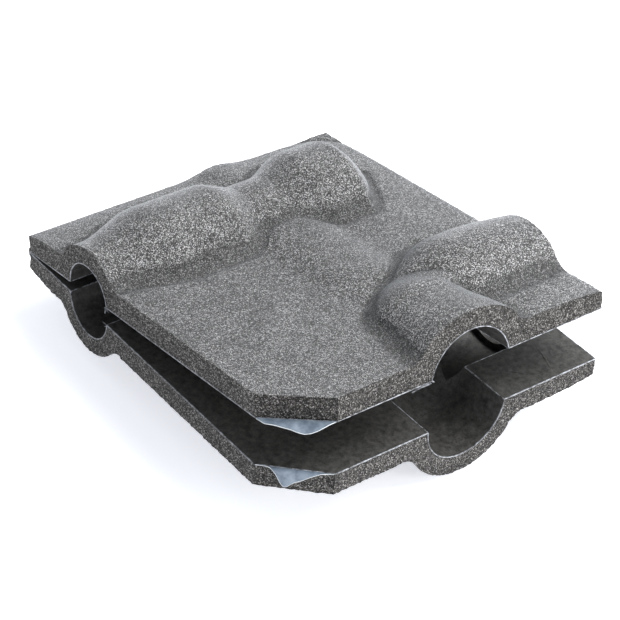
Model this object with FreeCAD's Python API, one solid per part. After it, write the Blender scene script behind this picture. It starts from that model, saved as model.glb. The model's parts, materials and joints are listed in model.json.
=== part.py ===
"""Fold-over foam insulation shell for a pipe fitting.

Two mirrored halves of pressed foam close over the fitting like a clam. Each half is a flat flange with
half-round channels and bulges pressed into it. Its inner face carries an adhesive layer under a release
liner, and the liner's free corner is a pull tab.

A half is drawn in its own frame: X runs from the fold to the free edge, Y along the fold and Z away from
the parting plane, so z = 0 is where the closed halves meet. Millimetres throughout.
"""
import FreeCAD
import Part
import math
import os
from FreeCAD import Vector

# ---- driving dimensions ----
panel_width = 200.0
panel_depth = 234.0
corner_cut_x = 27.3
corner_cut_y = 29.0
foam_thickness = 13.5
channel_wall = 11.0
open_angle = 7.6

# stack on the inner face, measured from the parting plane
half_gap = 0.2
liner_thickness = 0.25
adhesive_thickness = 0.3
liner_outer = half_gap + liner_thickness
adhesive_outer = liner_outer + adhesive_thickness
inner_films = liner_thickness + adhesive_thickness

# edges pinched thinner by the pressing tool: how much, and over what distance
fold_pinch = 3.6
fold_pinch_reach = 14.0
rear_pinch = 3.0
rear_pinch_reach = 16.0
largest_pinch = 4.0

# spine along Y: small port, barrel, neck, closed dome. Outer radii, then where each one starts and is full
spine_x = 59.0
small_port_radius = 17.2
spine_port_outer = 27.4
barrel_outer = 35.8
neck_outer = 29.0
dome_outer = 37.3
barrel_start = 6.0
barrel_full = 42.0
neck_start = 78.0
neck_full = 100.0
dome_start = 115.0
dome_full = 140.0
spine_end_start = 158.0
spine_end = 184.0

# inside the spine: length of the straight port, where the barrel is full, and the rounded far end
side_port_length = 14.0
inner_barrel_full = 44.0
cap_start = 161.0
cap_length = 14.0
cap_flattening = 0.75

# trunk along X, out through the free edge
trunk_y = 112.0
trunk_port_radius = 24.8
trunk_inner_outer = 31.5
trunk_port_outer = 36.0
trunk_start = 160.0
trunk_full = 196.0
trunk_inner_end = 180.0
trunk_port_taper = 190.0
trunk_port_start = 206.0

# the upper half's trunk has spread a little: its axis is sunk below the parting plane and its skin is lower
upper_trunk_sink = 4.6
upper_trunk_flattening = 0.187

# chamber along Y, out through the rear edge
chamber_x = 175.0
chamber_outer = 31.9
rear_port_outer = 30.1
chamber_rise_start = 98.0
chamber_full = 150.0
rear_port_taper = 160.0
chamber_start = 131.0
chamber_end = 178.0
chamber_half_width = 27.5
chamber_height = 20.4

# low ridge between neck and trunk, with its shallow channel
ridge_y = 109.0
ridge_height = 5.0
ridge_half_width = 19.0
ridge_shape_power = 3
ridge_start = 50.0
ridge_full = 80.0
ridge_fade = 150.0
ridge_end = 175.0
ridge_channel_end = 184.0
ridge_channel_half_width = 17.0
ridge_channel_depth = 4.6

# low hump between neck and fold, with its shallow channel
hump_y = 121.0
hump_height = 3.2
hump_half_width = 15.0
hump_end = 50.0
hump_channel_start = 10.0
hump_channel_half_width = 12.0
hump_channel_depth = 3.0

blend_radius = 14.0
blend_power = 2.2

# pull tabs
tab_height = 9.6
tab_root_gap = 0.9
tab_end_inset = 1.5
tab_tip_radius = 2.0
upper_tab_tip_share = 0.62
lower_tab_tip_share = 0.42
upper_tab_droop = 15.0
lower_tab_droop = 72.0

fold_start = 0.9
fold_bead_radius = 0.6

# drawing aids: spacing of the skin's grid, points on a profile, overrun of cutting tools, a height over all
grid_step = 4.0
spine_points = 40
trunk_points = 16
tool_margin = 6.0
tall = 80.0


# ---- outer skin as a smooth height over the parting plane ----
def step(value, start, end):
    """Smooth rise from 0 to 1 between start and end."""
    u = min(max((value - start) / (end - start), 0.0), 1.0)
    return u * u * (3.0 - 2.0 * u)


def mound(offset, radius):
    """Height above the flange of a half-round of this radius, filleted into the flange."""
    if radius <= foam_thickness:
        return 0.0
    foot = math.sqrt((radius + blend_radius) ** 2 - (foam_thickness + blend_radius) ** 2)
    tangent = foot * radius / (radius + blend_radius)
    offset = abs(offset)
    if offset <= tangent:
        return math.sqrt(radius ** 2 - offset ** 2) - foam_thickness
    if offset < foot:
        return blend_radius - math.sqrt(blend_radius ** 2 - (foot - offset) ** 2)
    return 0.0


def spine_outer(y):
    radius = spine_port_outer
    radius += (barrel_outer - spine_port_outer) * step(y, barrel_start, barrel_full)
    radius += (neck_outer - barrel_outer) * step(y, neck_start, neck_full)
    radius += (dome_outer - neck_outer) * step(y, dome_start, dome_full)
    radius += (foam_thickness - dome_outer) * step(y, spine_end_start, spine_end)
    return radius


def trunk_outer(x):
    radius = foam_thickness + (trunk_inner_outer - foam_thickness) * step(x, trunk_start, trunk_full)
    return radius + (trunk_port_outer - trunk_inner_outer) * step(x, trunk_full, panel_depth)


def chamber_radius(y):
    radius = foam_thickness + (chamber_outer - foam_thickness) * step(y, chamber_rise_start, chamber_full)
    return radius + (rear_port_outer - chamber_outer) * step(y, rear_port_taper, panel_width)


def outer_height(x, y, flattening):
    """Height of the outer skin over the parting plane. flattening lowers the trunk towards its port."""
    kept = 1.0 - flattening * step(x, trunk_start, trunk_port_start)
    ridge = ridge_height * math.exp(-abs((y - ridge_y) / ridge_half_width) ** ridge_shape_power)
    ridge *= step(x, ridge_start, ridge_full) * (1.0 - step(x, ridge_fade, ridge_end))
    hump = hump_height * math.exp(-((y - hump_y) / hump_half_width) ** 2) * (1.0 - step(x, 0, hump_end))
    rises = [
        mound(x - spine_x, spine_outer(y)),
        mound(y - trunk_y, trunk_outer(x)) * kept,
        mound(x - chamber_x, chamber_radius(y)),
        ridge,
        hump,
    ]
    blended = sum(rise ** blend_power for rise in rises) ** (1.0 / blend_power)
    pinch = fold_pinch * math.exp(-max(x, 0.0) / fold_pinch_reach)
    pinch += rear_pinch * math.exp(-max(panel_width - y, 0.0) / rear_pinch_reach)
    return foam_thickness - min(pinch, largest_pinch) + blended


def outer_tool(flattening):
    """Solid that fills everything below the outer skin, larger than the panel all round."""
    count_x = int((panel_depth + 2 * tool_margin) / grid_step) + 1
    count_y = int((panel_width + 2 * tool_margin) / grid_step) + 1
    rows = []
    for i in range(count_x + 1):
        x = -tool_margin + (panel_depth + 2 * tool_margin) * i / count_x
        row = []
        for j in range(count_y + 1):
            y = -tool_margin + (panel_width + 2 * tool_margin) * j / count_y
            row.append(Vector(x, y, outer_height(x, y, flattening)))
        rows.append(row)
    skin = Part.BSplineSurface()
    skin.interpolate(rows)
    return skin.toShape().extrude(Vector(0, 0, -tall))


# ---- cavity for the fitting ----
def turned(axis_point, direction, *stretches):
    """Solid of revolution. Each stretch holds (distance along the axis, radius): two points make a straight
    wall, more are smoothed by a spline."""
    across = Vector(0, 0, 1)
    edges = []
    for stretch in stretches:
        points = [axis_point + direction * along + across * radius for along, radius in stretch]
        if len(points) == 2:
            edges.append(Part.makeLine(points[0], points[1]))
        else:
            curve = Part.BSplineCurve()
            curve.interpolate(points)
            edges.append(curve.toShape())
    start_along, start_radius = stretches[0][0]
    end_along, end_radius = stretches[-1][-1]
    start = axis_point + direction * start_along
    end = axis_point + direction * end_along
    edges.insert(0, Part.makeLine(start, start + across * start_radius))
    edges.append(Part.makeLine(end + across * end_radius, end))
    edges.append(Part.makeLine(end, start))
    face = Part.Face(Part.Wire(edges))
    return face.revolve(axis_point, direction, 360)


def sampled(function, start, end, count):
    """Points of a profile function at even steps."""
    span = end - start
    return [(start + span * i / count, function(start + span * i / count)) for i in range(count + 1)]


def spine_cavity(grow):
    """Straight port, barrel, neck and dome. The far end is closed by a rounded cap."""
    port_radius = small_port_radius + grow
    length = cap_length + grow

    def radius(y):
        if y <= cap_start:
            inner = spine_outer(y) - channel_wall + grow
            return port_radius + (inner - port_radius) * step(y, side_port_length, inner_barrel_full)
        full = spine_outer(cap_start) - channel_wall + grow
        u = (y - cap_start) / length
        return full * math.sqrt(max(1.0 - cap_flattening * u ** 2, 0.0))

    port = [(-tool_margin, port_radius), (side_port_length, port_radius)]
    room = sampled(radius, side_port_length, cap_start + length, spine_points)
    return turned(Vector(spine_x, 0, 0), Vector(0, 1, 0), port, room)


def trunk_cavity(grow, sink):
    """Follows the outer skin from its inner end, then runs straight out as the large port."""
    port_radius = math.hypot(trunk_port_radius, sink) + grow

    def radius(x):
        followed = trunk_outer(x) - channel_wall
        half_width = followed + (trunk_port_radius - followed) * step(x, trunk_port_taper, trunk_port_start)
        return math.hypot(half_width, sink) + grow

    room = sampled(radius, trunk_inner_end - grow, trunk_port_start, trunk_points)
    port = [(trunk_port_start, port_radius), (panel_depth + tool_margin, port_radius)]
    return turned(Vector(0, trunk_y, -sink), Vector(1, 0, 0), room, port)


def flat_arc(half_width, height):
    """Radius of the arc through a channel's two edges and its roof, and how far its centre is sunk."""
    radius = (half_width ** 2 + height ** 2) / (2 * height)
    return radius, radius - height


def chamber_cavity(grow):
    """Wide, flat-topped chamber behind the trunk, and the small port through the rear edge."""
    radius, sink = flat_arc(chamber_half_width, chamber_height)
    length = chamber_end - chamber_start + 2 * grow
    centre = Vector(chamber_x, chamber_start - grow, -sink)
    chamber = Part.makeCylinder(radius + grow, length, centre, Vector(0, 1, 0))
    port_start = Vector(chamber_x, chamber_end - tool_margin, 0)
    port_length = panel_width + tool_margin - port_start.y
    port = Part.makeCylinder(small_port_radius + grow, port_length, port_start, Vector(0, 1, 0))
    return chamber.fuse(port)


def low_channel(start_x, end_x, centre_y, half_width, depth, grow):
    """Shallow channel whose floor is a flat arc."""
    radius, sink = flat_arc(half_width, depth)
    start = Vector(start_x, centre_y, -sink)
    return Part.makeCylinder(radius + grow, end_x - start_x, start, Vector(1, 0, 0))


def ridge_channel(grow):
    size = (ridge_channel_half_width, ridge_channel_depth)
    return low_channel(spine_x, ridge_channel_end, ridge_y, *size, grow)


def hump_channel(grow):
    start = hump_channel_start - grow
    size = (hump_channel_half_width, hump_channel_depth)
    return low_channel(start, spine_x, hump_y, *size, grow)


def cavity(grow, sink):
    """Room for the fitting, made larger all round by grow. sink lowers the trunk's axis."""
    others = [trunk_cavity(grow, sink), chamber_cavity(grow), ridge_channel(grow), hump_channel(grow)]
    return spine_cavity(grow).multiFuse(others)


# ---- the layers of one half ----
def panel(low, high):
    """Panel outline with its cut-off corner, between two heights."""
    outline = [
        Vector(fold_start, 0, low),
        Vector(panel_depth - corner_cut_x, 0, low),
        Vector(panel_depth, corner_cut_y, low),
        Vector(panel_depth, panel_width, low),
        Vector(fold_start, panel_width, low),
        Vector(fold_start, 0, low),
    ]
    return Part.Face(Part.makePolygon(outline)).extrude(Vector(0, 0, high - low))


def film(low, high, inner_grow, sink):
    """Even film that lies on the flange and follows the cavity wall."""
    outer_grow = inner_grow + high - low
    flat = panel(low, high).cut(cavity(inner_grow, sink))
    lining = cavity(outer_grow, sink).common(panel(low, tall)).cut(cavity(inner_grow, sink))
    return flat.fuse(lining)


def half_layers(flattening, sink):
    """Foam, adhesive and liner of one half, in the half's own frame."""
    foam = outer_tool(flattening).common(panel(adhesive_outer, tall)).cut(cavity(inner_films, sink))
    adhesive = film(liner_outer, adhesive_outer, liner_thickness, sink)
    liner = film(half_gap, liner_outer, 0.0, sink)
    return {"foam_shell": foam, "adhesive_layer": adhesive, "release_liner": liner}


def corner_line():
    """Start point, direction along and direction out of the cut-off corner."""
    start = Vector(panel_depth - corner_cut_x, 0, 0)
    end = Vector(panel_depth, corner_cut_y, 0)
    along = (end - start).normalize()
    out = Vector(along.y, -along.x, 0)
    return start, along, out, (end - start).Length


def tab_hinge():
    """Point on a tab's bending line, in the half's own frame."""
    start, along, out, length = corner_line()
    middle = start + along * (length / 2)
    return middle + Vector(0, 0, (half_gap + liner_outer) / 2)


def is_at(edge, point):
    """Whether both ends of an edge are at a point, give or take a film's thickness."""
    return all((vertex.Point - point).Length < 2 * liner_thickness for vertex in edge.Vertexes)


def pull_tab(tip_share, droop):
    """Three-cornered tab with its tip at tip_share of the corner's length, bent away from its own foam."""
    start, along, out, length = corner_line()
    base = Vector(0, 0, half_gap)
    left = start + along * tab_end_inset + out * tab_root_gap + base
    right = start + along * (length - tab_end_inset) + out * tab_root_gap + base
    tip = start + along * (length * tip_share) + out * (tab_root_gap + tab_height) + base
    plate = Part.Face(Part.makePolygon([left, right, tip, left])).extrude(Vector(0, 0, liner_thickness))
    tip_edges = [edge for edge in plate.Edges if is_at(edge, tip)]
    plate = plate.makeFillet(tab_tip_radius, tip_edges)
    plate.rotate(tab_hinge(), along, droop)
    return plate


# ---- placing the halves ----
def placed_lower(shape):
    return shape.mirror(Vector(0, 0, 0), Vector(0, 0, 1))


def placed_upper(shape):
    turned_shape = shape.copy()
    turned_shape.rotate(Vector(0, 0, 0), Vector(0, -1, 0), open_angle)
    return turned_shape


def build():
    nodes = {}
    for name, shape in half_layers(0.0, 0.0).items():
        nodes["lower_" + name] = placed_lower(shape)
    for name, shape in half_layers(upper_trunk_flattening, upper_trunk_sink).items():
        nodes["upper_" + name] = placed_upper(shape)
    nodes["upper_pull_tab"] = placed_upper(pull_tab(upper_tab_tip_share, upper_tab_droop))
    nodes["lower_pull_tab"] = placed_lower(pull_tab(lower_tab_tip_share, -lower_tab_droop))
    nodes["fold_hinge"] = Part.makeCylinder(fold_bead_radius, panel_width, Vector(0, 0, 0), Vector(0, 1, 0))
    return nodes


def main():
    os.makedirs("parts", exist_ok=True)
    nodes = build()
    everything = Part.makeCompound(list(nodes.values()))
    box = everything.optimalBoundingBox(False)
    origin = Vector((box.XMin + box.XMax) / 2, (box.YMin + box.YMax) / 2, box.ZMin)
    print("origin in the halves' frame", origin.x, origin.y, origin.z)
    for name, shape in nodes.items():
        moved = shape.copy()
        moved.translate(origin * -1)
        solids = moved.Solids
        shape_out = solids[0] if len(solids) == 1 else Part.makeCompound(solids)
        shape_out.exportStep("parts/" + name + ".step")
        print(name, "solids", len(solids), "volume", round(shape_out.Volume, 1), shape_out.isValid())


main()
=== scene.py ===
import bpy
import json
import math
import numpy as np
from mathutils import Matrix, Vector, noise


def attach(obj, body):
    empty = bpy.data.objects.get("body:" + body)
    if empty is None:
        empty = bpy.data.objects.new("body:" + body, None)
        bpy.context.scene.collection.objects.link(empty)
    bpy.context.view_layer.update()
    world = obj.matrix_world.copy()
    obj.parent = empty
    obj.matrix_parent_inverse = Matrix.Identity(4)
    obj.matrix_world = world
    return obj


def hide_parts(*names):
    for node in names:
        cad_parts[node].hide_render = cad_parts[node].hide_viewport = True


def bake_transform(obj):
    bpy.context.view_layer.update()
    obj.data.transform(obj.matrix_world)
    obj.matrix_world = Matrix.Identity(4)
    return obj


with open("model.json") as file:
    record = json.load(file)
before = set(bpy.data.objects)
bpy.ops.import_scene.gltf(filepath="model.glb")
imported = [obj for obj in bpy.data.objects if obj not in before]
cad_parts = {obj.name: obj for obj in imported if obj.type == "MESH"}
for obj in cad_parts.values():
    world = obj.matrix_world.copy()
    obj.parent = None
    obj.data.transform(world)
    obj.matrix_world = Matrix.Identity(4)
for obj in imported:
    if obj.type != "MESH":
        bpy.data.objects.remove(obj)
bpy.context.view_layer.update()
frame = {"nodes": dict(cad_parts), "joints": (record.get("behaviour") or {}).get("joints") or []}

MM = 0.001

# ---- sizes of the shell, in millimetres, in a half's own frame ----
# X runs from the fold to the free edge, Y along the fold, Z away from the parting plane.
PANEL_WIDTH = 200.0
PANEL_DEPTH = 234.0
CORNER_CUT_X = 27.3
CORNER_CUT_Y = 29.0
FOAM = 13.5
CHANNEL_WALL = 11.0
FOLD_START = 0.9
HALF_GAP = 0.2
LINER_OUTER = 0.45
ADHESIVE_OUTER = 0.75
FILMS = 0.55

# edges pinched thinner by the pressing tool: how much, and over what distance
FOLD_PINCH = 3.6
FOLD_PINCH_REACH = 14.0
REAR_PINCH = 3.0
REAR_PINCH_REACH = 16.0
LARGEST_PINCH = 4.0

# spine along Y: side port, barrel, neck and closed dome
SPINE_X = 59.0
SMALL_PORT = 17.2
SIDE_PORT_LENGTH = 14.0
INNER_BARREL_FULL = 44.0
SPINE_CAP_START = 161.0
SPINE_CAP_LENGTH = 14.0
SPINE_CAP_FLATTENING = 0.75

# trunk along X, out through the free edge
TRUNK_Y = 112.0
TRUNK_PORT = 24.8
TRUNK_START = 160.0
TRUNK_CHANNEL_START = 180.0
TRUNK_PORT_TAPER = 190.0
TRUNK_FULL = 196.0
TRUNK_PORT_START = 206.0

# chamber along Y, out through the rear edge
CHAMBER_X = 175.0
CHAMBER_START = 131.0
CHAMBER_END = 178.0
CHAMBER_HALF_WIDTH = 27.5
CHAMBER_HEIGHT = 20.4

# low ridge between neck and trunk, low hump between neck and fold, and their channels' half width and depth
RIDGE_Y = 109.0
RIDGE_HEIGHT = 5.0
RIDGE_HALF_WIDTH = 19.0
RIDGE_CHANNEL_END = 184.0
RIDGE_CHANNEL = (17.0, 4.6)
HUMP_Y = 121.0
HUMP_HEIGHT = 3.2
HUMP_HALF_WIDTH = 15.0
HUMP_CHANNEL_START = 10.0
HUMP_CHANNEL = (12.0, 3.0)

# each bulge's outer radius where it starts, then start, end and new radius of every change
SPINE_OUTER = [27.4, (6.0, 42.0, 35.8), (78.0, 100.0, 29.0), (115.0, 140.0, 37.3), (158.0, 184.0, FOAM)]
TRUNK_OUTER = [FOAM, (TRUNK_START, TRUNK_FULL, 31.5), (TRUNK_FULL, PANEL_DEPTH, 36.0)]
CHAMBER_OUTER = [FOAM, (98.0, 150.0, 31.9), (160.0, PANEL_WIDTH, 30.1)]
BLEND_RADIUS = 14.0
BLEND_POWER = 2.2
PRESSED_DEPTH = 0.8
RIM_SPACING = 0.7

# the upper half's trunk has spread: its axis is sunk and its skin is lower towards the port
TRUNK_SINK = {False: 0.0, True: 4.6}
TRUNK_FLATTENING = {False: 0.0, True: 0.187}

fold_joint = next(j for j in frame["joints"] if j["name"] == "fold")
OPEN_ANGLE = math.radians(-fold_joint["range_deg"][0])
FOLD_POINT = np.array(fold_joint["pos_m"])


# ---- shape of a half ----
def step(value, start, end):
    """Smooth rise from 0 to 1 between start and end."""
    u = np.clip((value - start) / (end - start), 0.0, 1.0)
    return u * u * (3.0 - 2.0 * u)


def mound(offset, radius):
    """Height above the flange of a half-round of this radius, filleted into the flange."""
    radius = np.maximum(radius, FOAM + 1e-6)
    foot = np.sqrt((radius + BLEND_RADIUS) ** 2 - (FOAM + BLEND_RADIUS) ** 2)
    tangent = foot * radius / (radius + BLEND_RADIUS)
    offset = np.abs(offset)
    crown = np.sqrt(radius ** 2 - np.minimum(offset, tangent) ** 2) - FOAM
    to_foot = np.clip(foot - offset, 0.0, BLEND_RADIUS)
    fillet = BLEND_RADIUS - np.sqrt(BLEND_RADIUS ** 2 - to_foot ** 2)
    return np.where(offset <= tangent, crown, fillet)


def bulge_radius(along, changes):
    """Outer radius along a bulge, which passes smoothly from one stretch to the next."""
    radius = last = changes[0]
    for start, end, outer in changes[1:]:
        radius = radius + (outer - last) * step(along, start, end)
        last = outer
    return radius


def outer_height(x, y, upper):
    """Height of the foam's outer skin over the parting plane."""
    ridge = RIDGE_HEIGHT * np.exp(-np.abs((y - RIDGE_Y) / RIDGE_HALF_WIDTH) ** 3)
    ridge = ridge * step(x, 50, 80) * (1.0 - step(x, 150, 175))
    hump = HUMP_HEIGHT * np.exp(-((y - HUMP_Y) / HUMP_HALF_WIDTH) ** 2) * (1.0 - step(x, 0, 50))
    kept = 1.0 - TRUNK_FLATTENING[upper] * step(x, TRUNK_START, TRUNK_PORT_START)
    rises = (
        mound(x - SPINE_X, bulge_radius(y, SPINE_OUTER)),
        mound(y - TRUNK_Y, bulge_radius(x, TRUNK_OUTER)) * kept,
        mound(x - CHAMBER_X, bulge_radius(y, CHAMBER_OUTER)),
        ridge,
        hump,
    )
    blended = sum(rise ** BLEND_POWER for rise in rises) ** (1.0 / BLEND_POWER)
    pinch = FOLD_PINCH * np.exp(-np.maximum(x, 0.0) / FOLD_PINCH_REACH)
    pinch = pinch + REAR_PINCH * np.exp(-np.maximum(PANEL_WIDTH - y, 0.0) / REAR_PINCH_REACH)
    return FOAM - np.minimum(pinch, LARGEST_PINCH) + blended


def press_and_shade_share(x, y, upper):
    """Share from 0 to 1 of how tightly the skin is pressed into a hollow, highest at the foot of a bulge. It
    sinks the skin there, and sets how much painted shade darkens the hollow.
    """
    reach = 3.5
    around = outer_height(x + reach, y, upper) + outer_height(x - reach, y, upper)
    around = around + outer_height(x, y + reach, upper) + outer_height(x, y - reach, upper)
    hollow = (around - 4.0 * outer_height(x, y, upper)) / reach ** 2
    return step(hollow, 0.004, 0.085)


def arch(offset, radius, sink=0.0):
    """Height of a round channel's roof over the parting plane, 0 beside the channel."""
    return np.maximum(np.sqrt(np.maximum(radius ** 2 - offset ** 2, 0.0)) - sink, 0.0)


def flat_arc(half_width, height):
    """Radius of an arc through a channel's two edges and its roof, and how far its centre is sunk."""
    radius = (half_width ** 2 + height ** 2) / (2 * height)
    return radius, radius - height


def trunk_half_width(x):
    """Half the trunk channel's width at the parting plane."""
    followed = bulge_radius(x, TRUNK_OUTER) - CHANNEL_WALL
    return followed + (TRUNK_PORT - followed) * step(x, TRUNK_PORT_TAPER, TRUNK_PORT_START)


def spine_channel_radius(y, grow):
    """Radius of the channel through the barrel, the neck and the dome, whose end is capped."""
    inner = bulge_radius(np.minimum(y, SPINE_CAP_START), SPINE_OUTER) - CHANNEL_WALL + grow
    opened = step(y, SIDE_PORT_LENGTH, INNER_BARREL_FULL)
    radius = SMALL_PORT + grow + (inner - SMALL_PORT - grow) * opened
    u = np.clip((y - SPINE_CAP_START) / (SPINE_CAP_LENGTH + grow), 0.0, 1.0)
    return radius * np.sqrt(1.0 - SPINE_CAP_FLATTENING * u ** 2)


def cavity_height(x, y, grow, upper):
    """Height of the cavity's roof over the parting plane, with its walls moved out by grow."""
    spine = spine_channel_radius(y, grow)
    spine = np.where(y > SPINE_CAP_START + SPINE_CAP_LENGTH + grow, 0.0, spine)
    roof = arch(x - SPINE_X, spine)

    trunk = np.hypot(trunk_half_width(x), TRUNK_SINK[upper]) + grow
    trunk = arch(y - TRUNK_Y, trunk, TRUNK_SINK[upper])
    roof = np.maximum(roof, np.where(x >= TRUNK_CHANNEL_START - grow, trunk, 0.0))

    radius, sink = flat_arc(CHAMBER_HALF_WIDTH, CHAMBER_HEIGHT)
    inside = (y > CHAMBER_START - grow) & (y < CHAMBER_END + grow)
    roof = np.maximum(roof, np.where(inside, arch(x - CHAMBER_X, radius + grow, sink), 0.0))
    roof = np.maximum(roof, np.where(y > 172.0, arch(x - CHAMBER_X, SMALL_PORT + grow), 0.0))

    radius, sink = flat_arc(*RIDGE_CHANNEL)
    inside = (x > SPINE_X) & (x < RIDGE_CHANNEL_END)
    roof = np.maximum(roof, np.where(inside, arch(y - RIDGE_Y, radius + grow, sink), 0.0))
    radius, sink = flat_arc(*HUMP_CHANNEL)
    inside = (x > HUMP_CHANNEL_START - grow) & (x < SPINE_X)
    return np.maximum(roof, np.where(inside, arch(y - HUMP_Y, radius + grow, sink), 0.0))


# ---- from a half's frame to the row frame ----
def to_row(points, upper):
    """Points of a half, in millimetres, placed in the row frame, in metres."""
    points = np.asarray(points, float)
    x, y, z = points[:, 0] * MM, points[:, 1] * MM, points[:, 2] * MM
    if upper:
        placed_x = x * math.cos(OPEN_ANGLE) - z * math.sin(OPEN_ANGLE)
        placed_z = x * math.sin(OPEN_ANGLE) + z * math.cos(OPEN_ANGLE)
    else:
        placed_x, placed_z = x, -z
    row = np.stack([placed_x, y - PANEL_WIDTH * MM / 2, placed_z], axis=1)
    return row + FOLD_POINT * np.array([1, 0, 1])


def half_name(upper):
    return "upper" if upper else "lower"


def mesh_object(name, points, faces, smooth=True):
    mesh = bpy.data.meshes.new(name)
    mesh.from_pydata([tuple(p) for p in points], [], faces)
    mesh.validate()
    mesh.polygons.foreach_set("use_smooth", [smooth] * len(mesh.polygons))
    mesh.update()
    made = bpy.data.objects.new(name, mesh)
    bpy.context.scene.collection.objects.link(made)
    return made


# ---- materials ----
def new_material(name):
    material = bpy.data.materials.new(name)
    material.use_nodes = True
    tree = material.node_tree
    return material, tree, tree.nodes["Principled BSDF"]


def maths(tree, operation, first, second, third=None):
    """A maths node. Each value is a number or another node's output."""
    made = tree.nodes.new("ShaderNodeMath")
    made.operation = operation
    for socket, value in zip(made.inputs, (first, second, third)):
        if value is None:
            continue
        if isinstance(value, (int, float)):
            socket.default_value = value
        else:
            tree.links.new(value, socket)
    return made.outputs[0]


def noise_texture(tree, place, scale, detail=3.0, roughness=0.6):
    made = tree.nodes.new("ShaderNodeTexNoise")
    made.inputs["Scale"].default_value = scale
    made.inputs["Detail"].default_value = detail
    made.inputs["Roughness"].default_value = roughness
    tree.links.new(place, made.inputs["Vector"])
    return made.outputs["Fac"]


def object_place(tree):
    return tree.nodes.new("ShaderNodeTexCoord").outputs["Object"]


def ramp(tree, source, stops):
    made = tree.nodes.new("ShaderNodeValToRGB")
    elements = made.color_ramp.elements
    while len(elements) < len(stops):
        elements.new(0.5)
    for element, (position, colour) in zip(elements, stops):
        element.position = position
        element.color = (*colour, 1.0)
    tree.links.new(source, made.inputs["Fac"])
    return made.outputs["Color"]


def bump(tree, height, strength, distance, invert=False):
    made = tree.nodes.new("ShaderNodeBump")
    made.inputs["Strength"].default_value = strength
    made.inputs["Distance"].default_value = distance
    made.invert = invert
    tree.links.new(height, made.inputs["Height"])
    return made.outputs["Normal"]


def grey(value, warm=0.0):
    return (value * (1 + warm), value, value * (1 - warm))


def cell_group():
    """Closed foam cells: a random value for each cell, and the cells' height, at a given cell size."""
    group = bpy.data.node_groups.new("foam_cells", "ShaderNodeTree")
    group.interface.new_socket("Vector", in_out="INPUT", socket_type="NodeSocketVector")
    group.interface.new_socket("Cells per metre", in_out="INPUT", socket_type="NodeSocketFloat")
    group.interface.new_socket("Speckle", in_out="OUTPUT", socket_type="NodeSocketFloat")
    group.interface.new_socket("Height", in_out="OUTPUT", socket_type="NodeSocketFloat")
    start = group.nodes.new("NodeGroupInput")
    end = group.nodes.new("NodeGroupOutput")
    link = group.links.new
    cells = group.nodes.new("ShaderNodeTexVoronoi")
    fine = group.nodes.new("ShaderNodeTexVoronoi")
    pick = group.nodes.new("ShaderNodeSeparateColor")
    pick_fine = group.nodes.new("ShaderNodeSeparateColor")
    for texture in (cells, fine):
        link(start.outputs["Vector"], texture.inputs["Vector"])
    link(start.outputs["Cells per metre"], cells.inputs["Scale"])
    link(maths(group, "MULTIPLY", start.outputs["Cells per metre"], 1.9), fine.inputs["Scale"])
    link(cells.outputs["Color"], pick.inputs["Color"])
    link(fine.outputs["Color"], pick_fine.inputs["Color"])
    mixed = maths(group, "MULTIPLY_ADD", pick.outputs["Red"], 0.62, maths(
        group, "MULTIPLY", pick_fine.outputs["Green"], 0.38))
    link(mixed, end.inputs["Speckle"])
    dome = maths(group, "SUBTRACT", 1.0, cells.outputs["Distance"])
    tilt = maths(group, "MULTIPLY_ADD", pick_fine.outputs["Blue"], 0.5, dome)
    link(tilt, end.inputs["Height"])
    return group


CELLS = cell_group()


def cells(tree, place, per_metre):
    made = tree.nodes.new("ShaderNodeGroup")
    made.node_tree = CELLS
    made.inputs["Cells per metre"].default_value = per_metre
    tree.links.new(place, made.inputs["Vector"])
    return made.outputs["Speckle"], made.outputs["Height"]


def mixed_colour(tree, share, colour, other):
    mix = tree.nodes.new("ShaderNodeMix")
    mix.data_type = "RGBA"
    tree.links.new(share, mix.inputs["Factor"])
    tree.links.new(colour, mix.inputs["A"])
    mix.inputs["B"].default_value = (*other, 1.0)
    return mix.outputs["Result"]


def painted_edge_reflection(tree, colour, reflection_colour, amount):
    """Painted reflection: mixes a colour towards another where the surface turns away, as the bright
    surroundings reflect at grazing angles.
    """
    turn = tree.nodes.new("ShaderNodeLayerWeight")
    turn.inputs["Blend"].default_value = 0.35
    share = maths(tree, "MULTIPLY", maths(tree, "POWER", turn.outputs["Facing"], 3.0), amount)
    return mixed_colour(tree, share, colour, reflection_colour)


def painted_shade_in_hollows(tree, colour, shade_colour, amount):
    """Painted shade: mixes a colour towards a darker one where the skin lies in a hollow, at the foot of each
    bulge, where shade falls.
    """
    press_and_shade = tree.nodes.new("ShaderNodeAttribute")
    press_and_shade.attribute_name = "press_and_shade"
    share = maths(tree, "MULTIPLY", press_and_shade.outputs["Fac"], amount)
    return mixed_colour(tree, share, colour, shade_colour)


def foam_skin_material():
    material, tree, shader = new_material("foam_skin")
    place = object_place(tree)
    speckle, height = cells(tree, place, 2250.0)
    cloud = noise_texture(tree, place, 60.0, 2.0)
    speckle = maths(tree, "MULTIPLY_ADD", cloud, 0.12, maths(tree, "SUBTRACT", speckle, 0.06))
    colour = ramp(tree, speckle, [
        (0.18, grey(0.002, 0.04)), (0.36, grey(0.026, 0.03)), (0.56, grey(0.082, 0.01)),
        (0.70, grey(0.20)), (0.84, grey(0.76))])
    # Painted reflection: the skin turns lighter and bluish where it turns away from view.
    colour = painted_edge_reflection(tree, colour, (0.42, 0.46, 0.50), 0.52)
    # Painted shade: the skin is darkened in the hollows at the foot of each bulge.
    colour = painted_shade_in_hollows(tree, colour, grey(0.012), 0.50)
    tree.links.new(colour, shader.inputs["Base Color"])
    tree.links.new(bump(tree, height, 0.75, 0.0005), shader.inputs["Normal"])
    shader.inputs["Roughness"].default_value = 0.34
    return material


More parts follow.
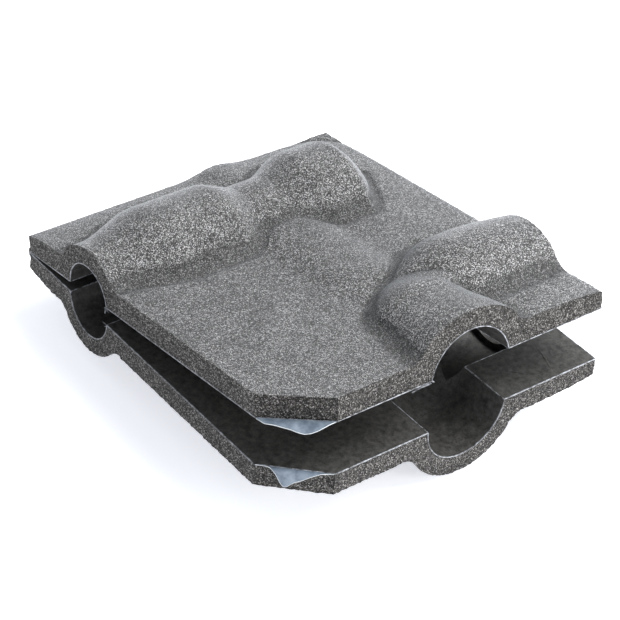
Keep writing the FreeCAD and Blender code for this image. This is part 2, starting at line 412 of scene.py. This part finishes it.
def foam_cut_material():
    material, tree, shader = new_material("foam_cut_face")
    place = object_place(tree)
    speckle, height = cells(tree, place, 1750.0)
    cloud = noise_texture(tree, place, 120.0, 3.0)
    speckle = maths(tree, "MULTIPLY_ADD", cloud, 0.2, maths(tree, "SUBTRACT", speckle, 0.1))
    colour = ramp(tree, speckle, [
        (0.26, grey(0.001, 0.05)), (0.42, grey(0.014, 0.10)), (0.60, grey(0.050, 0.09)),
        (0.74, grey(0.115, 0.07)), (0.87, grey(0.44, 0.04))])
    tree.links.new(colour, shader.inputs["Base Color"])
    tree.links.new(bump(tree, height, 0.9, 0.0007, invert=True), shader.inputs["Normal"])
    shader.inputs["Roughness"].default_value = 0.6
    shader.inputs["Specular IOR Level"].default_value = 0.35
    return material


def film_material(name, colour, roughness):
    material, tree, shader = new_material(name)
    place = object_place(tree)
    mottle = noise_texture(tree, place, 330.0, 4.0)
    grain = noise_texture(tree, place, 1100.0, 2.0)
    mixed = maths(tree, "MULTIPLY_ADD", grain, 0.35, maths(tree, "MULTIPLY", mottle, 0.65))
    dark = tuple(c * 0.5 for c in colour)
    light = tuple(c * 2.1 for c in colour)
    tree.links.new(ramp(tree, mixed, [(0.35, dark), (0.65, light)]), shader.inputs["Base Color"])
    waves = noise_texture(tree, place, 45.0, 3.0)
    ripple = maths(tree, "MULTIPLY_ADD", waves, 3.0, mixed)
    tree.links.new(bump(tree, ripple, 0.22, 0.0004), shader.inputs["Normal"])
    shader.inputs["Roughness"].default_value = roughness
    shader.inputs["Specular IOR Level"].default_value = 0.4
    return material


def clear_film_material(name, low, high, scale, roughness):
    material, tree, shader = new_material(name)
    haze = noise_texture(tree, object_place(tree), scale, 3.0)
    tree.links.new(ramp(tree, haze, [(0.35, low), (0.65, high)]), shader.inputs["Base Color"])
    tree.links.new(bump(tree, haze, 0.2, 0.0004), shader.inputs["Normal"])
    shader.inputs["Roughness"].default_value = roughness
    return material


SKIN = foam_skin_material()
CUT = foam_cut_material()
LINER = film_material("liner_film", (0.041, 0.040, 0.038), 0.40)
ADHESIVE = film_material("adhesive_coat", (0.010, 0.009, 0.008), 0.45)
TAB = clear_film_material("clear_liner", (0.12, 0.155, 0.20), (0.23, 0.28, 0.34), 220.0, 0.3)
TAB_RIM = clear_film_material("clear_liner_rim", (0.50, 0.54, 0.58), (0.85, 0.88, 0.90), 260.0, 0.25)
EDGE = clear_film_material("film_edge", (0.03, 0.03, 0.032), (0.42, 0.44, 0.48), 420.0, 0.3)


# ---- foam halves ----
def grid_lines(start, end, spacing, edges):
    """Even grid lines, with a few more beside each steep edge."""
    lines = list(np.linspace(start, end, int(round((end - start) / spacing)) + 1))
    for edge in edges:
        for side in (-1, 1):
            lines += [edge + side * near for near in (0.03, 0.12, 0.35, 0.75)]
    lines = sorted(line for line in lines if start <= line <= end)
    kept = [lines[0]]
    for line in lines[1:]:
        if line - kept[-1] > 0.05:
            kept.append(line)
    kept[-1] = end
    return np.array(kept)


def panel_grid(spacing):
    """Grid over the panel. Its columns close up towards the cut-off corner."""
    port = SMALL_PORT + FILMS
    trunk = TRUNK_PORT + FILMS
    xs = grid_lines(FOLD_START, PANEL_DEPTH, spacing,
                    [SPINE_X - port, SPINE_X + port, CHAMBER_X - port, CHAMBER_X + port])
    ys = grid_lines(0.0, PANEL_WIDTH, spacing, [TRUNK_Y - trunk, TRUNK_Y + trunk])
    ys = np.sort(np.append(ys, CORNER_CUT_Y))
    x, y = np.meshgrid(xs, ys, indexing="ij")
    squeeze_from = 150.0
    right = PANEL_DEPTH - CORNER_CUT_X * np.clip(1.0 - y / CORNER_CUT_Y, 0.0, 1.0)
    squeezed = squeeze_from + (x - squeeze_from) * (right - squeeze_from) / (PANEL_DEPTH - squeeze_from)
    return np.where(x > squeeze_from, squeezed, x), y


def edge_distance(x, y):
    """How far a point lies inside the panel's outline."""
    corner = (PANEL_DEPTH - x) * CORNER_CUT_Y + y * CORNER_CUT_X - CORNER_CUT_X * CORNER_CUT_Y
    corner = corner / math.hypot(CORNER_CUT_X, CORNER_CUT_Y)
    sides = (x - FOLD_START, PANEL_DEPTH - x, y, PANEL_WIDTH - y, corner)
    return np.minimum.reduce(sides)


def ring(shape):
    """Indices round a grid's border, in order."""
    rows, columns = shape
    border = [(i, 0) for i in range(rows)]
    border += [(rows - 1, j) for j in range(1, columns)]
    border += [(i, columns - 1) for i in range(rows - 2, -1, -1)]
    border += [(0, j) for j in range(columns - 2, 0, -1)]
    return border


def grid_faces(shape, first, flip):
    rows, columns = shape
    i, j = np.meshgrid(np.arange(rows - 1), np.arange(columns - 1), indexing="ij")
    a = (first + i * columns + j).ravel()
    quads = np.stack([a, a + columns, a + columns + 1, a + 1], axis=1)
    return (quads[:, ::-1] if flip else quads).tolist()


def cell_noise(points, size, seed):
    """Noise from -1 to 1 at each point, with features of this size in millimetres."""
    shift = Vector((seed * 17.3, seed * 5.1, seed * 9.7))
    return np.array([noise.noise(Vector(p) / size + shift) for p in points])


def inner_height(x, y, top, upper):
    """Height of the foam's inner face. It lies a little behind the films, except at the panel's edge."""
    behind = 0.8
    hidden = step(edge_distance(x, y), 0.3, 2.5) > 0.5
    bottom = cavity_height(x, y, FILMS, upper)
    bottom = np.where(hidden, cavity_height(x, y, FILMS + behind, upper), bottom)
    bottom = np.maximum(bottom, ADHESIVE_OUTER)
    return np.minimum(bottom, top - 2.0)


def roughen(points, count, border_ids, out, seed):
    """Pebbles the skin, and tears the cells open on the cut faces. The first count points are the skin."""
    skin, wall = points[:count].copy(), points[2 * count:].copy()
    rim = skin[border_ids]
    pebble = cell_noise(skin, 2.4, seed) * 0.09 + cell_noise(skin, 9.0, seed + 3) * 0.12
    points[:count, 2] += pebble * step(edge_distance(skin[:, 0], skin[:, 1]), 0.0, 1.0)
    torn = cell_noise(wall, 1.7, seed + 5) * 0.38 + cell_noise(wall, 0.9, seed + 6) * 0.30 - 0.25
    wall_out = np.tile(out, (len(wall) // len(border_ids), 1))
    points[2 * count:, :2] += wall_out * torn[:, None]
    points[border_ids, :2] += out * (cell_noise(rim, 1.8, seed + 8)[:, None] * 0.5 - 0.15)
    points[border_ids, 2] += cell_noise(rim, 1.4, seed + 9) * 0.3


def wall_faces(border_ids, count, wall_rows):
    """Faces round the cut edge, from the inner face up to the skin."""
    length = len(border_ids)
    levels = [[count + b for b in border_ids]]
    for row in range(wall_rows - 1):
        levels.append([2 * count + row * length + k for k in range(length)])
    levels.append(border_ids)
    faces = []
    for low, high in zip(levels, levels[1:]):
        for k in range(length):
            after = (k + 1) % length
            faces.append([low[k], low[after], high[after], high[k]])
    return faces


def foam_half(upper):
    spacing = 1.0
    wall_rows = 14
    x, y = panel_grid(spacing)
    press_and_shade = press_and_shade_share(x, y, upper)
    top = outer_height(x, y, upper) - PRESSED_DEPTH * press_and_shade
    bottom = inner_height(x, y, top, upper)
    skin = np.stack([x.ravel(), y.ravel(), top.ravel()], axis=1)
    inner = np.stack([x.ravel(), y.ravel(), bottom.ravel()], axis=1)
    count = len(skin)
    border = ring(x.shape)
    border_ids = [i * x.shape[1] + j for i, j in border]
    wall = []
    for row in range(1, wall_rows):
        share = row / wall_rows
        wall.append(inner[border_ids] * (1 - share) + skin[border_ids] * share)
    points = np.concatenate([skin, inner, *wall])
    roughen(points, count, border_ids, wall_normals(border, x, y), 2 if upper else 1)

    faces = grid_faces(x.shape, 0, False)
    skin_faces = len(faces)
    faces += grid_faces(x.shape, count, True) + wall_faces(border_ids, count, wall_rows)
    if not upper:
        faces = [face[::-1] for face in faces]
    made = mesh_object(half_name(upper) + "_foam", to_row(points, upper), faces)
    made.data.materials.append(SKIN)
    made.data.materials.append(CUT)
    slots = np.ones(len(made.data.polygons), np.int32)
    slots[:skin_faces] = 0
    made.data.polygons.foreach_set("material_index", slots)
    sharp_rim(made, set(border_ids))
    # Painted shade: each skin point keeps its hollow share, which the skin material turns into darker colour.
    hollows = np.zeros(len(made.data.vertices), np.float32)
    hollows[:count] = press_and_shade.ravel()
    made.data.attributes.new("press_and_shade", "FLOAT", "POINT").data.foreach_set("value", hollows)
    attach(made, half_name(upper) + "_half")
    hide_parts(half_name(upper) + "_foam_shell")


def wall_normals(border, x, y):
    """Outward direction at each point of the border, in plan."""
    path = np.array([(x[i, j], y[i, j]) for i, j in border])
    along = np.roll(path, -1, axis=0) - np.roll(path, 1, axis=0)
    along /= np.linalg.norm(along, axis=1, keepdims=True)
    return np.stack([along[:, 1], -along[:, 0]], axis=1)


def sharp_rim(made, rim):
    mesh = made.data
    for edge in mesh.edges:
        if edge.vertices[0] in rim and edge.vertices[1] in rim:
            edge.use_edge_sharp = True


# ---- films ----
def prism(path, across, outward, section, closed):
    """Closed four-cornered strip along a path. section gives each corner's reach across and outward."""
    path, across, outward = (np.asarray(values, float) for values in (path, across, outward))
    count = len(path)
    corners = [path + across * np.reshape(a, (-1, 1)) + outward * np.reshape(b, (-1, 1)) for a, b in section]
    points = np.concatenate(corners)
    faces = []
    for k in range(count if closed else count - 1):
        after = (k + 1) % count
        for c in range(4):
            d = (c + 1) % 4
            faces.append([c * count + k, c * count + after, d * count + after, d * count + k])
    if not closed:
        faces.append([c * count for c in (3, 2, 1, 0)])
        faces.append([c * count + count - 1 for c in range(4)])
    return points, faces


class Pieces:
    """Collects strips into one mesh."""

    def __init__(self):
        self.points, self.faces, self.slots = [], [], []
        self.count = 0

    def add(self, points, faces, slot=0):
        self.points.append(points)
        self.faces += [[index + self.count for index in face] for face in faces]
        self.slots += [slot] * len(faces)
        self.count += len(points)

    def build(self, name, upper, materials):
        points = to_row(np.concatenate(self.points), upper)
        faces = self.faces if upper else [face[::-1] for face in self.faces]
        made = mesh_object(name, points, faces)
        for material in materials:
            made.data.materials.append(material)
        made.data.polygons.foreach_set("material_index", self.slots)
        return made


def line_between(a, b, spacing):
    count = max(int(math.dist(a, b) / spacing), 1)
    return [(a[0] + (b[0] - a[0]) * k / count, a[1] + (b[1] - a[1]) * k / count) for k in range(count)]


def panel_edge(upper, spacing=0.6):
    """The liner's cut edge all round the panel: points, direction into the foam, and outward direction."""
    points, into, out = [], [], []

    def flat(a, b, normal):
        for x, y in line_between(a, b, spacing):
            points.append((x, y, HALF_GAP))
            into.append((0, 0, 1))
            out.append(normal)

    def port(centre, along, half_width, normal, sink=0.0):
        radius = math.hypot(half_width, sink)
        end = math.asin((HALF_GAP + sink) / radius)
        start = math.pi - end
        count = int(math.pi * radius / spacing)
        for k in range(count):
            angle = start + (end - start) * k / count
            side, rise = math.cos(angle), math.sin(angle)
            points.append((centre[0] + along[0] * side * radius, centre[1] + along[1] * side * radius,
                           rise * radius - sink))
            into.append((along[0] * side, along[1] * side, rise))
            out.append(normal)

    corner = (CORNER_CUT_Y, -CORNER_CUT_X)
    size = math.hypot(*corner)
    corner = (corner[0] / size, corner[1] / size, 0)
    flat((FOLD_START, 0), (SPINE_X - SMALL_PORT, 0), (0, -1, 0))
    port((SPINE_X, 0), (1, 0), SMALL_PORT, (0, -1, 0))
    flat((SPINE_X + SMALL_PORT, 0), (PANEL_DEPTH - CORNER_CUT_X, 0), (0, -1, 0))
    flat((PANEL_DEPTH - CORNER_CUT_X, 0), (PANEL_DEPTH, CORNER_CUT_Y), corner)
    flat((PANEL_DEPTH, CORNER_CUT_Y), (PANEL_DEPTH, TRUNK_Y - TRUNK_PORT), (1, 0, 0))
    port((PANEL_DEPTH, TRUNK_Y), (0, 1), TRUNK_PORT, (1, 0, 0), TRUNK_SINK[upper])
    flat((PANEL_DEPTH, TRUNK_Y + TRUNK_PORT), (PANEL_DEPTH, PANEL_WIDTH), (1, 0, 0))
    flat((PANEL_DEPTH, PANEL_WIDTH), (CHAMBER_X + SMALL_PORT, PANEL_WIDTH), (0, 1, 0))
    port((CHAMBER_X, PANEL_WIDTH), (-1, 0), SMALL_PORT, (0, 1, 0))
    flat((CHAMBER_X - SMALL_PORT, PANEL_WIDTH), (FOLD_START, PANEL_WIDTH), (0, 1, 0))
    flat((FOLD_START, PANEL_WIDTH), (FOLD_START, 0), (-1, 0, 0))
    return np.array(points, float), np.array(into, float), np.array(out, float)


def runs(keep):
    """Start and end of each unbroken stretch of True, at least four long."""
    found, start = [], None
    for k, kept in enumerate(list(keep) + [False]):
        if kept and start is None:
            start = k
        if not kept and start is not None:
            if k - start >= 4:
                found.append((start, k))
            start = None
    return found


def channel_rims(upper):
    """The edges where the flange meets a channel: points and direction over the flange."""
    rims = []
    y = np.arange(0.0, SPINE_CAP_START + SPINE_CAP_LENGTH + 1.0, RIM_SPACING)
    radius = spine_channel_radius(y, 0.0)
    x = np.arange(TRUNK_CHANNEL_START, PANEL_DEPTH, RIM_SPACING)
    trunk = trunk_half_width(x)
    chamber = np.arange(CHAMBER_START, CHAMBER_END, RIM_SPACING)
    rear = np.arange(CHAMBER_END, PANEL_WIDTH, RIM_SPACING)
    across = np.arange(CHAMBER_X - CHAMBER_HALF_WIDTH, CHAMBER_X + CHAMBER_HALF_WIDTH, RIM_SPACING)
    for side in (-1, 1):
        rims.append((SPINE_X + side * radius, y, (side, 0)))
        rims.append((x, TRUNK_Y + side * trunk, (0, side)))
        rims.append((np.full(len(chamber), CHAMBER_X + side * CHAMBER_HALF_WIDTH), chamber, (side, 0)))
        rims.append((np.full(len(rear), CHAMBER_X + side * SMALL_PORT), rear, (side, 0)))
    rims.append((across, np.full(len(across), CHAMBER_START), (0, -1)))
    rims.append((across, np.full(len(across), CHAMBER_END), (0, 1)))
    for x, y, side in rims:
        on_flange = cavity_height(x + side[0] * 0.6, y + side[1] * 0.6, 0.0, upper) <= 0.0
        for start, end in runs(on_flange):
            points = np.stack([x[start:end], y[start:end], np.full(end - start, HALF_GAP)], axis=1)
            yield points, np.tile((side[0], side[1], 0.0), (end - start, 1))


def shred(collected, start, heading, length, width, curl, seed):
    """A torn strip of film that lifts and curls away from where it starts."""
    count = 9
    heading = np.array(heading, float) / np.linalg.norm(heading)
    side = np.cross(heading, (0.3, 0.2, 1.0))
    side /= np.linalg.norm(side)
    lift = np.cross(side, heading)
    path = []
    for k in range(count):
        u = k / (count - 1)
        wobble = 0.35 * math.sin(seed * 2.1 + u * 7.0)
        path.append(np.array(start) + heading * length * u + lift * curl * u * u + side * wobble * u)
    spread = np.array([width * (1 - 0.75 * (k / (count - 1)) ** 1.5) for k in range(count)])
    ragged = spread * (1 + 0.3 * np.array([math.sin(seed + 3.3 * k) for k in range(count)]))
    section = [(-spread / 2, 0.05), (-spread / 2, -0.05), (ragged / 2, -0.05), (ragged / 2, 0.05)]
    collected.add(*prism(path, np.tile(side, (count, 1)), np.tile(lift, (count, 1)), section, False))


def film_edges(upper):
    """The liner's and adhesive's cut edge round the panel and along the channels, with torn strips."""
    seed = 12 if upper else 11
    collected = Pieces()
    points, into, out = panel_edge(upper)
    rough = cell_noise(points, 1.3, seed)
    fringe = cell_noise(points, 0.7, seed + 1)
    long_wave = cell_noise(points, 9.0, seed + 2)
    reach = np.clip(0.42 + 0.22 * rough + 0.12 * long_wave, 0.12, 0.8)
    proud = np.clip(0.10 + 0.10 * fringe, 0.0, 0.3)
    section = [(-0.05, proud), (-0.03, -0.5), (reach, -0.5), (reach, proud * 0.6)]
    collected.add(*prism(points, into, out, section, True))
    toward = np.array((0.0, 0.0, -1.0))
    for points, over in channel_rims(upper):
        rough = cell_noise(points, 1.6, seed + 4)
        width = np.clip(0.35 + 0.25 * rough, 0.08, 0.7)
        height = np.clip(0.07 + 0.05 * rough, 0.02, 0.14)
        section = [(-0.08, height), (-0.06, -0.45), (width, -0.1), (width, height * 0.4)]
        collected.add(*prism(points, over, np.tile(toward, (len(points), 1)), section, False))
    near, far = SPINE_X - SMALL_PORT, SPINE_X + SMALL_PORT
    if upper:
        shred(collected, (far - 0.2, -0.1, 0.5), (0.2, -0.35, -1.0), 3.2, 1.6, 0.9, 1)
        shred(collected, (far + 1.2, 0.0, 0.3), (0.5, -0.2, -1.0), 2.2, 1.0, 0.5, 2)
        foot = TRUNK_Y - TRUNK_PORT
        shred(collected, (PANEL_DEPTH, foot, 0.4), (0.2, 0.5, -0.5), 1.4, 1.6, 0.3, 3)
        shred(collected, (PANEL_DEPTH, foot + 0.1, 3.0), (0.1, 1.0, 0.2), 1.2, 1.0, 0.3, 4)
        shred(collected, (PANEL_DEPTH - 0.2, foot - 1.0, 0.2), (-0.1, -1.0, -0.16), 11.0, 2.6, -0.6, 8)
        shred(collected, (PANEL_DEPTH - 0.8, foot - 0.4, 0.2), (-0.2, -1.0, -0.30), 7.5, 1.2, -0.9, 9)
    else:
        shred(collected, (near + 0.3, -0.1, 0.3), (0.1, -0.5, -1.0), 1.8, 1.4, 0.5, 5)
        shred(collected, (far, -0.1, 0.4), (-0.4, -0.4, -1.0), 3.0, 1.6, 0.8, 6)
        shred(collected, (far - 0.1, 0.0, 1.2), (-0.8, -0.2, 0.3), 1.8, 1.0, 0.4, 7)
    made = collected.build(half_name(upper) + "_film_edges", upper, [EDGE])
    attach(made, half_name(upper) + "_half")


def crease(collected, start, end, height, width, bow, seed):
    """A low rounded fold pressed into the liner over the flange."""
    count, columns = 30, 9
    start, end = np.array(start, float), np.array(end, float)
    along = (end - start) / np.linalg.norm(end - start)
    side = np.array((-along[1], along[0]))
    points = []
    for u in np.linspace(0.0, 1.0, count):
        bend = bow * math.sin(math.pi * u) + 0.5 * noise.noise(Vector((seed, u * 6.0, 0.0)))
        ridge = math.sin(math.pi * u) ** 1.4 * (1 + 0.3 * noise.noise(Vector((u * 9.0, seed, 0.0))))
        half = width / 2 * (0.3 + 0.7 * ridge)
        for across in np.linspace(-1.0, 1.0, columns):
            place = start + (end - start) * u + side * (bend + half * across)
            rise = (height * ridge + 0.04) * math.cos(math.pi * across / 2) ** 2 - 0.04
            points.append((place[0], place[1], HALF_GAP - rise))
    faces = grid_faces((count, columns), 0, True)
    for row in range(count - 1):
        low, high = row * columns, (row + 1) * columns
        faces.append([low, high, high + columns - 1, low + columns - 1])
    faces.append(list(range(columns))[::-1])
    faces.append([(count - 1) * columns + k for k in range(columns)])
    collected.add(np.array(points), faces)


def liner_creases(upper):
    """Low folds where the liner was pressed into the halves' channels."""
    collected = Pieces()
    if upper:
        crease(collected, (196.0, 160.0), (226.0, 171.0), 0.12, 2.4, 1.0, 4)
        crease(collected, (96.0, 60.0), (150.0, 44.0), 0.10, 3.0, 2.0, 5)
    else:
        crease(collected, (204.0, 181.4), (232.5, 172.0), 0.19, 2.4, 0.8, 1)
        crease(collected, (199.0, 188.8), (220.0, 193.4), 0.19, 2.8, 0.8, 2)
        crease(collected, (204.0, 184.0), (212.0, 196.0), 0.15, 2.2, -0.6, 3)
        crease(collected, (214.0, 150.0), (229.0, 163.0), 0.07, 2.6, 0.9, 6)
        crease(collected, (212.0, 62.0), (224.0, 74.0), 0.07, 2.6, -0.8, 7)
        crease(collected, (120.0, 20.0), (170.0, 33.0), 0.08, 3.4, 2.2, 8)
    made = collected.build(half_name(upper) + "_liner_creases", upper, [LINER])
    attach(made, half_name(upper) + "_half")


# Loose corner of each liner. Share of the corner's length, and the film's length there.
UPPER_TAB = [(0.0, 0.0), (0.06, 2.2), (0.13, 4.1), (0.3, 5.6), (0.42, 6.9), (0.52, 8.2), (0.62, 8.8),
             (0.70, 8.5), (0.79, 7.0), (0.9, 3.4), (1.0, 0.0)]
LOWER_TAB = [(0.0, 0.0), (0.15, 0.4), (0.2, 1.1), (0.24, 2.6), (0.29, 5.2), (0.34, 8.9), (0.385, 10.9),
             (0.43, 10.4), (0.5, 7.9), (0.66, 4.3), (0.82, 1.4), (1.0, 0.0)]


def pull_tab(upper):
    """Curling film along the cut-off corner, joined to the liner at its base."""
    columns, rows = 49, 13
    table = UPPER_TAB if upper else LOWER_TAB
    droop = math.radians(24.0 if upper else 78.0)
    bend_start, bend_length = 0.3, 6.0 if upper else 1.8
    start = np.array((PANEL_DEPTH - CORNER_CUT_X, 0.0))
    along = np.array((CORNER_CUT_X, CORNER_CUT_Y))
    length = np.linalg.norm(along)
    along = along / length
    outward = np.array((along[1], -along[0]))
    down = -1.0 if upper else 1.0
    tucked = 1.2
    half_thick = 0.06
    middle = (HALF_GAP + LINER_OUTER) / 2

    longest = 14.0
    distances = np.linspace(0.0, longest, 141)
    angle = droop * step(distances, bend_start, bend_start + bend_length)
    flat = np.concatenate([[0.0], np.cumsum(np.cos(angle[:-1]) * np.diff(distances))])
    fall = np.concatenate([[0.0], np.cumsum(np.sin(angle[:-1]) * np.diff(distances))])
    shares = np.linspace(0.015, 0.985, columns)
    reach = np.interp(shares, [p[0] for p in table], [p[1] for p in table])
    reach = np.maximum(np.convolve(np.pad(reach, 1, mode="edge"), (0.2, 0.6, 0.2), "valid"), 0.25)

    def surface(share, distance, thickness):
        out = np.interp(distance, distances, flat) if distance > 0 else distance
        drop = np.interp(distance, distances, fall) if distance > 0 else 0.0
        turn = np.interp(distance, distances, angle) if distance > 0 else 0.0
        ripple = 0.25 * math.sin(share * 11.0 + 0.8) + 0.15 * math.sin(share * 23.0)
        drop += ripple * min(max(distance, 0.0) / 5.0, 1.0)
        out -= thickness * math.sin(turn)
        place = start + along * length * share + outward * (out + 0.02)
        return (place[0], place[1], middle + down * (drop + thickness * math.cos(turn)))

    collected = Pieces()
    sheets = []
    for thickness in (half_thick, -half_thick):
        for share, full in zip(shares, reach):
            for k in range(rows):
                distance = -tucked + (full + tucked) * k / (rows - 1)
                sheets.append(surface(share, distance, thickness))
    shape = (columns, rows)
    faces = grid_faces(shape, 0, upper) + grid_faces(shape, columns * rows, not upper)
    ids = [i * rows + j for i, j in ring(shape)]
    for k in range(len(ids)):
        low, after = ids[k], ids[(k + 1) % len(ids)]
        face = [low, after, after + columns * rows, low + columns * rows]
        faces.append(face if upper else face[::-1])
    collected.add(np.array(sheets), faces)

    rim = np.array([surface(share, full, 0.0) for share, full in zip(shares, reach)])
    back = np.array([surface(share, full - 0.4, 0.0) for share, full in zip(shares, reach)])
    across = (back - rim) / np.linalg.norm(back - rim, axis=1, keepdims=True)
    path_along = np.gradient(rim, axis=0)
    over = np.cross(across, path_along)
    over /= np.linalg.norm(over, axis=1, keepdims=True)
    section = [(-half_thick, 0.13), (-half_thick, -0.13), (0.24, -0.1), (0.24, 0.1)]
    collected.add(*prism(rim, across, over, section, False), slot=1)

    side = half_name(upper)
    made = collected.build(side + "_liner_tab", upper, [TAB, TAB_RIM])
    centre = start + along * length / 2
    ends = [(*(centre + outward * reach_out), middle) for reach_out in (-0.2, 1.0)]
    row_ends = to_row(np.array(ends), upper)
    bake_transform(made)
    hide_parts(side + "_pull_tab")


def fold_web():
    """Thin web of foam left uncut along the fold, bulging out between the halves' edges."""
    rows = 201
    section_steps = 9
    depth, reach = 2.6, 0.75
    outline = []
    for k in range(section_steps):
        angle = math.pi * (k / (section_steps - 1) - 0.5)
        outline.append((FOLD_START - 0.15 - reach * math.cos(angle), depth * math.sin(angle)))
    for k in range(section_steps):
        angle = math.pi * (0.5 - k / (section_steps - 1))
        outline.append((FOLD_START + 0.35 - 0.5 * reach * math.cos(angle), 0.75 * depth * math.sin(angle)))
    points = []
    for row in range(rows):
        y = PANEL_WIDTH * row / (rows - 1)
        for x, z in outline:
            wear = 0.25 * noise.noise(Vector((x * 0.6, y * 0.7, z * 0.6)))
            points.append((x + wear, y, z))
    size = len(outline)
    faces = []
    for row in range(rows - 1):
        for k in range(size):
            after = (k + 1) % size
            faces.append([row * size + k, (row + 1) * size + k, (row + 1) * size + after, row * size + after])
    faces.append(list(range(size)))
    faces.append([(rows - 1) * size + k for k in range(size)][::-1])
    points = np.array(points)
    turn = OPEN_ANGLE / 2
    x, z = points[:, 0] * math.cos(turn) - points[:, 2] * math.sin(turn), points[:, 0] * math.sin(turn)
    z = z + points[:, 2] * math.cos(turn)
    row_points = np.stack([x * MM, points[:, 1] * MM - PANEL_WIDTH * MM / 2, z * MM], axis=1)
    row_points += FOLD_POINT * np.array([1, 0, 1])
    made = mesh_object("fold_web", row_points, faces)
    made.data.materials.append(CUT)
    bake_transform(made)
    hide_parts("fold_hinge")


for upper in (False, True):
    foam_half(upper)
    film_edges(upper)
    pull_tab(upper)
    liner_creases(upper)
    for layer, material in (("_release_liner", LINER), ("_adhesive_layer", ADHESIVE)):
        cad = frame["nodes"][half_name(upper) + layer]
        cad.data.materials.clear()
        cad.data.materials.append(material)
fold_web()


# ---- studio ----
def camera():
    azimuth, elevation, roll = math.radians(50.137), math.radians(36.753), math.radians(4.911)
    distance = 1.26424
    from_fold, along_fold = 0.121875, -0.002263
    target = Vector((FOLD_POINT[0] + from_fold, along_fold, FOLD_POINT[2]))
    right = Vector((math.cos(azimuth), math.sin(azimuth), 0))
    forward = Vector((-math.sin(azimuth) * math.cos(elevation), math.cos(azimuth) * math.cos(elevation),
                      -math.sin(elevation)))
    up = right.cross(forward)
    side = right * math.cos(roll) + up * math.sin(roll)
    top = up * math.cos(roll) - right * math.sin(roll)
    data = bpy.data.cameras.new("camera")
    data.lens = 139.35
    data.sensor_width = 36.0
    made = bpy.data.objects.new("camera", data)
    bpy.context.scene.collection.objects.link(made)
    turn = Matrix((side, top, -forward)).transposed()
    made.matrix_world = Matrix.Translation(target - forward * distance) @ turn.to_4x4()
    bpy.context.scene.camera = made


def softbox(name, location, aim, size, power):
    data = bpy.data.lights.new(name, "AREA")
    data.shape = "RECTANGLE"
    data.size, data.size_y = size
    data.energy = power
    made = bpy.data.objects.new(name, data)
    bpy.context.scene.collection.objects.link(made)
    made.location = location
    made.rotation_euler = (Vector(aim) - Vector(location)).to_track_quat("-Z", "Y").to_euler()


def studio():
    points = [(-6, -6, 0), (6, -6, 0), (6, 6, 0), (-6, 6, 0)]
    floor = mesh_object("floor", points, [(0, 1, 2, 3)], smooth=False)
    material, tree, shader = new_material("floor_paper")
    shader.inputs["Base Color"].default_value = (0.88, 0.88, 0.89, 1)
    shader.inputs["Roughness"].default_value = 0.9
    shader.inputs["Emission Color"].default_value = (0.92, 0.94, 1.0, 1)
    shader.inputs["Emission Strength"].default_value = 0.60
    floor.data.materials.append(material)
    world = bpy.data.worlds.new("studio")
    bpy.context.scene.world = world
    world.use_nodes = True
    background = world.node_tree.nodes["Background"]
    background.inputs["Color"].default_value = (0.93, 0.96, 1.0, 1)
    background.inputs["Strength"].default_value = 0.56
    softbox("overhead_softbox", (0.30, 0.58, 1.12), (0.0, 0.0, 0.03), (0.95, 0.95), 24.0)
    softbox("side_softbox", (1.05, 0.45, 0.42), (0.0, 0.0, 0.05), (0.6, 0.4), 7.0)
    bpy.context.scene.view_settings.view_transform = "Standard"


camera()
studio()
